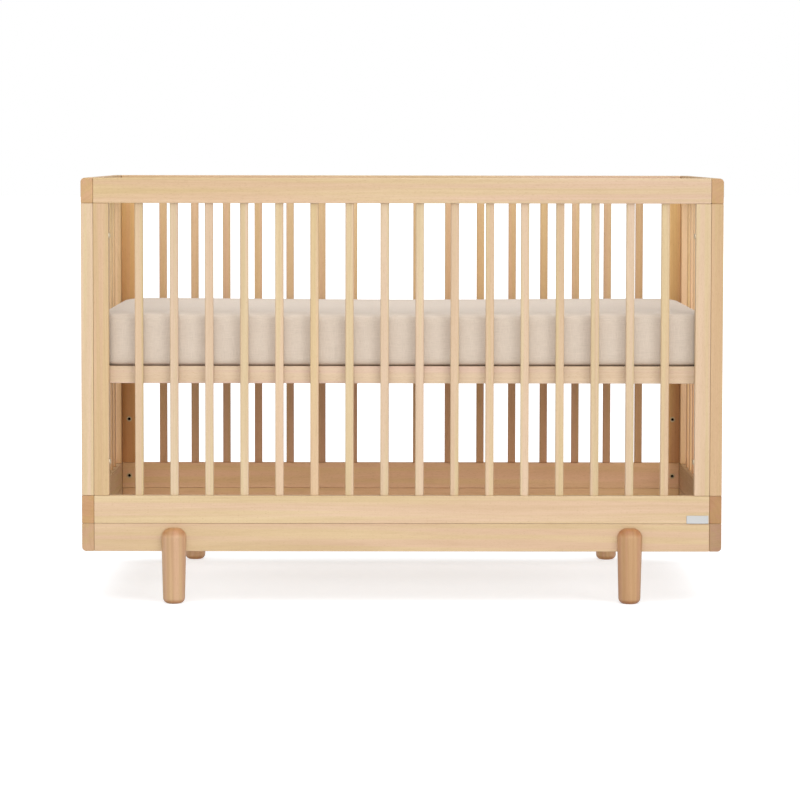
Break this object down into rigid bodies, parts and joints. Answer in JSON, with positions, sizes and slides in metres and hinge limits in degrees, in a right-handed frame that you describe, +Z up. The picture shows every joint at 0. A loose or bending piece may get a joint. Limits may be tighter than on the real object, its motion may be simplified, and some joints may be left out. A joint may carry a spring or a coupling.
{
  "type": "baby crib",
  "caption": "Wooden baby crib with fixed slatted sides on turned legs, and a mattress on a height-adjustable support.",
  "frame": {"origin": "on the floor, under the middle of the crib's overall box", "axes": "+Z up, -Y towards the front long side, +X to the right along the crib's length"},
  "size_m": [1.375, 0.809, 0.914],
  "materials": {
    "beech_panels": "clear satin lacquer on beech",
    "beech_base": "clear satin lacquer on beech",
    "beech_legs": "clear satin lacquer on turned beech",
    "beech_support": "clear satin lacquer on beech",
    "plywood_deck": "bare sanded plywood",
    "bolt_steel": "dull zinc plate",
    "plate_metal": "satin, blank",
    "mattress_cover": "woven cotton cover"
  },
  "bodies": {
    "crib_frame": {"front_top_rail": "beech_panels", "front_left_stile": "beech_panels", "front_right_stile": "beech_panels", "base_front_rail": "beech_base", "back_top_rail": "beech_panels", "back_left_stile": "beech_panels", "back_right_stile": "beech_panels", "base_back_rail": "beech_base", "front_bottom_rail": "beech_panels", "front_slat_01": "beech_panels", "front_slat_02": "beech_panels", "front_slat_03": "beech_panels", "front_slat_04": "beech_panels", "front_slat_05": "beech_panels", "front_slat_06": "beech_panels", "front_slat_07": "beech_panels", "front_slat_08": "beech_panels", "front_slat_09": "beech_panels", "front_slat_10": "beech_panels", "front_slat_11": "beech_panels", "front_slat_12": "beech_panels", "front_slat_13": "beech_panels", "front_slat_14": "beech_panels", "front_slat_15": "beech_panels", "front_slat_16": "beech_panels", "back_bottom_rail_with_slats": "beech_panels", "left_end_top_rail": "beech_panels", "left_end_bottom_rail_with_slats": "beech_panels", "left_end_front_stile": "beech_panels", "left_end_back_stile": "beech_panels", "base_left_rail": "beech_base", "right_end_top_rail": "beech_panels", "right_end_bottom_rail_with_slats": "beech_panels", "right_end_front_stile": "beech_panels", "right_end_back_stile": "beech_panels", "base_right_rail": "beech_base", "leg_front_left": "beech_legs", "leg_front_right": "beech_legs", "leg_back_left": "beech_legs", "leg_back_right": "beech_legs", "frame_bolt_front_left_lower": "bolt_steel", "frame_bolt_front_left_upper": "bolt_steel", "frame_bolt_front_right_lower": "bolt_steel", "frame_bolt_front_right_upper": "bolt_steel", "frame_bolt_back_left_lower": "bolt_steel", "frame_bolt_back_left_upper": "bolt_steel", "frame_bolt_back_right_lower": "bolt_steel", "frame_bolt_back_right_upper": "bolt_steel", "blank_plate": "plate_metal"},
    "mattress_support": {"support_front_rail": "beech_support", "support_bolt_front_left": "bolt_steel", "support_bolt_front_right": "bolt_steel", "support_back_rail": "beech_support", "support_bolt_back_left": "bolt_steel", "support_bolt_back_right": "bolt_steel", "support_left_bearer": "beech_support", "support_centre_bearer": "beech_support", "support_right_bearer": "beech_support", "support_deck": "plywood_deck"},
    "mattress": {"mattress": "mattress_cover"}
  },
  "joints": [
    {"name": "support_height", "type": "slide", "parent": "crib_frame", "child": "mattress_support", "axis": [0, 0, 1], "range_m": [-0.289, 0]},
    {"name": "mattress_lift", "type": "slide", "parent": "mattress_support", "child": "mattress", "axis": [0, 0, 1], "range_m": [0, 0.75]}
  ]
}
